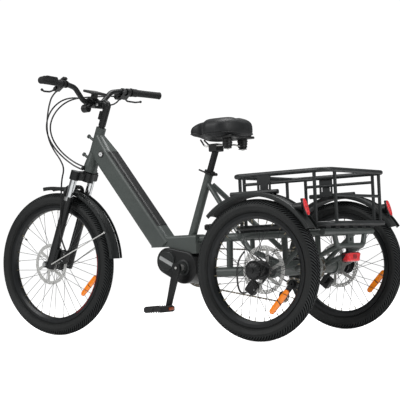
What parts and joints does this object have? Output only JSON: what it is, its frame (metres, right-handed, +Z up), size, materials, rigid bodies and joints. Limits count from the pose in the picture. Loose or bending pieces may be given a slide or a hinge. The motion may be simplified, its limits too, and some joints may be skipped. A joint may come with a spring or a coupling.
{
  "type": "electric adult tricycle",
  "caption": "Adult tricycle with a sprung front wheel, a motor at the cranks, a battery in the down tube and a tube basket over the driven rear axle.",
  "frame": {"origin": "on the ground, midway between the front and the back of the tyres, on the middle plane", "axes": "+X towards the rear wheels, +Y to the rider's right, +Z up"},
  "size_m": [1.8328, 0.808, 1.0994],
  "materials": {
    "frame_paint": "satin",
    "dark_shell": "satin",
    "black_metal": "satin",
    "black_plastic": "matte",
    "screen": "gloss",
    "silver_alloy": "satin",
    "bright_chrome": "polished",
    "steel": "brushed",
    "tread_rubber": "matte",
    "grip_rubber": "matte",
    "saddle_cover": "matte",
    "lamp_red": "gloss"
  },
  "bodies": {
    "frame": {"head_tube": "frame_paint", "down_tube": "frame_paint", "seat_tube": "frame_paint", "seat_stays": "frame_paint", "spine_tubes": "frame_paint", "motor": "black_metal", "chain": "steel", "derailleur_body": "black_metal", "derailleur_cage": "black_metal", "rear_deck": "frame_paint", "axle_housing": "frame_paint", "rear_calipers": "black_metal", "rear_bumper": "frame_paint", "rear_lamps": "lamp_red", "rear_fenders": "dark_shell", "basket_rim": "black_metal", "basket_floor": "black_metal", "basket_posts": "black_metal", "rear_hoses": "black_plastic"},
    "battery_pack": {"battery": "dark_shell"},
    "lock_barrel": {"battery_lock": "silver_alloy"},
    "seat_clamp_lever": {"collar_lever": "black_metal"},
    "saddle": {"seat_post": "black_metal", "saddle_frame": "black_metal", "saddle_cushion": "saddle_cover"},
    "steering": {"fork_crown": "black_metal", "stanchions": "bright_chrome", "stem": "black_metal", "handlebar": "black_metal", "bar_grips": "grip_rubber", "display": "screen", "headlight": "black_plastic", "bar_controls": "black_plastic", "cable_bundle": "black_plastic"},
    "fork_lower": {"fork_lowers": "black_metal", "front_caliper": "black_metal", "front_fender": "dark_shell", "front_hose": "black_plastic"},
    "front_wheel": {"front_tyre": "tread_rubber", "front_rim": "black_metal", "front_spokes": "steel", "front_hub": "silver_alloy"},
    "left_wheel": {"left_tyre": "tread_rubber", "left_rim": "black_metal", "left_spokes": "black_metal", "left_hub": "black_metal"},
    "right_wheel": {"right_tyre": "tread_rubber", "right_rim": "black_metal", "right_spokes": "black_metal", "right_hub": "black_metal"},
    "crank": {"crank_set": "black_metal"},
    "left_pedal": {"pedal_left": "black_plastic"},
    "right_pedal": {"pedal_right": "black_plastic"},
    "sprockets": {"cassette": "steel"},
    "left_lever": {"brake_lever_left": "black_metal"},
    "right_lever": {"brake_lever_right": "black_metal"},
    "throttle": {"throttle_grip": "grip_rubber"},
    "thumb_lever": {"shift_lever": "black_plastic"},
    "buttons": {"pad_buttons": "black_plastic"},
    "fork_knob": {"lockout_knob": "black_plastic"}
  },
  "joints": [
    {"name": "battery_slide", "type": "slide", "parent": "frame", "child": "battery_pack", "axis": [0.7986, 0, 0.6018], "range_m": [0, 0.06]},
    {"name": "battery_lock_turn", "type": "hinge", "parent": "frame", "child": "lock_barrel", "pos_m": [-0.29263, -0.0404, 0.77344], "axis": [0, -1, 0], "range_deg": [0, 90]},
    {"name": "seat_clamp_open", "type": "hinge", "parent": "frame", "child": "seat_clamp_lever", "pos_m": [0.26456, -0.019, 0.64759], "axis": [0.3665, 0, 0.9304], "range_deg": [0, 150]},
    {"name": "saddle_height", "type": "slide", "parent": "frame", "child": "saddle", "axis": [0.3665, 0, 0.9304], "range_m": [-0.065, 0.06]},
    {"name": "steer", "type": "hinge", "parent": "frame", "child": "steering", "pos_m": [-0.56312, 0, 0.29831], "axis": [0.3827, 0, 0.9239], "range_deg": [-50, 50], "deforming": ["cable_bundle"]},
    {"name": "fork_travel", "type": "slide", "parent": "steering", "child": "fork_lower", "axis": [0.3827, 0, 0.9239], "range_m": [0, 0.05], "stiffness_N_per_m": 8000, "springref_m": -0.03, "deforming": ["front_hose"]},
    {"name": "front_wheel_spin", "type": "hinge", "parent": "fork_lower", "child": "front_wheel", "pos_m": [-0.601, 0, 0.314], "axis": [0, 1, 0], "continuous": true},
    {"name": "left_wheel_spin", "type": "hinge", "parent": "frame", "child": "left_wheel", "pos_m": [0.655, -0.327, 0.26], "axis": [0, 1, 0], "continuous": true},
    {"name": "right_wheel_spin", "type": "hinge", "parent": "frame", "child": "right_wheel", "pos_m": [0.655, 0.327, 0.26], "axis": [0, 1, 0], "continuous": true},
    {"name": "crank_spin", "type": "hinge", "parent": "frame", "child": "crank", "pos_m": [0.12, 0, 0.277], "axis": [0, 1, 0], "continuous": true},
    {"name": "left_pedal_spin", "type": "hinge", "parent": "crank", "child": "left_pedal", "pos_m": [0.06916, 0, 0.11478], "axis": [0, 1, 0], "continuous": true},
    {"name": "right_pedal_spin", "type": "hinge", "parent": "crank", "child": "right_pedal", "pos_m": [0.17084, 0, 0.43922], "axis": [0, 1, 0], "continuous": true},
    {"name": "sprocket_spin", "type": "hinge", "parent": "frame", "child": "sprockets", "pos_m": [0.655, 0, 0.26], "axis": [0, 1, 0], "continuous": true},
    {"name": "left_brake", "type": "hinge", "parent": "steering", "child": "left_lever", "pos_m": [-0.36081, -0.23374, 1.0489], "axis": [-0.5657, -0.1653, 0.8079], "range_deg": [0, 14], "stiffness_Nm_per_rad": 1.2, "springref_deg": -5.73},
    {"name": "right_brake", "type": "hinge", "parent": "steering", "child": "right_lever", "pos_m": [-0.36081, 0.23374, 1.0489], "axis": [0.5657, -0.1653, -0.8079], "range_deg": [0, 14], "stiffness_Nm_per_rad": 1.2, "springref_deg": -5.73},
    {"name": "throttle_twist", "type": "hinge", "parent": "steering", "child": "throttle", "pos_m": [-0.3307, 0.25186, 1.06628], "axis": [0.2329, 0.9718, -0.0358], "range_deg": [0, 60], "stiffness_Nm_per_rad": 0.25, "springref_deg": -5.73},
    {"name": "thumb_shift", "type": "hinge", "parent": "steering", "child": "thumb_lever", "pos_m": [-0.35772, 0.18636, 1.03972], "axis": [0.5657, -0.1653, -0.8079], "range_deg": [0, 24], "stiffness_Nm_per_rad": 0.4, "springref_deg": -5.73},
    {"name": "button_press", "type": "slide", "parent": "steering", "child": "buttons", "axis": [0.5657, 0.1653, -0.8079], "range_m": [0, 0.001], "stiffness_N_per_m": 400, "springref_m": -0.001},
    {"name": "fork_lockout", "type": "hinge", "parent": "steering", "child": "fork_knob", "pos_m": [-0.41844, 0.06, 0.71031], "axis": [0.3827, 0, 0.9239], "range_deg": [0, 90]}
  ],
  "couplings": [
    {"joint": "sprocket_spin", "follows": "crank_spin", "ratio": 1.2667}
  ]
}
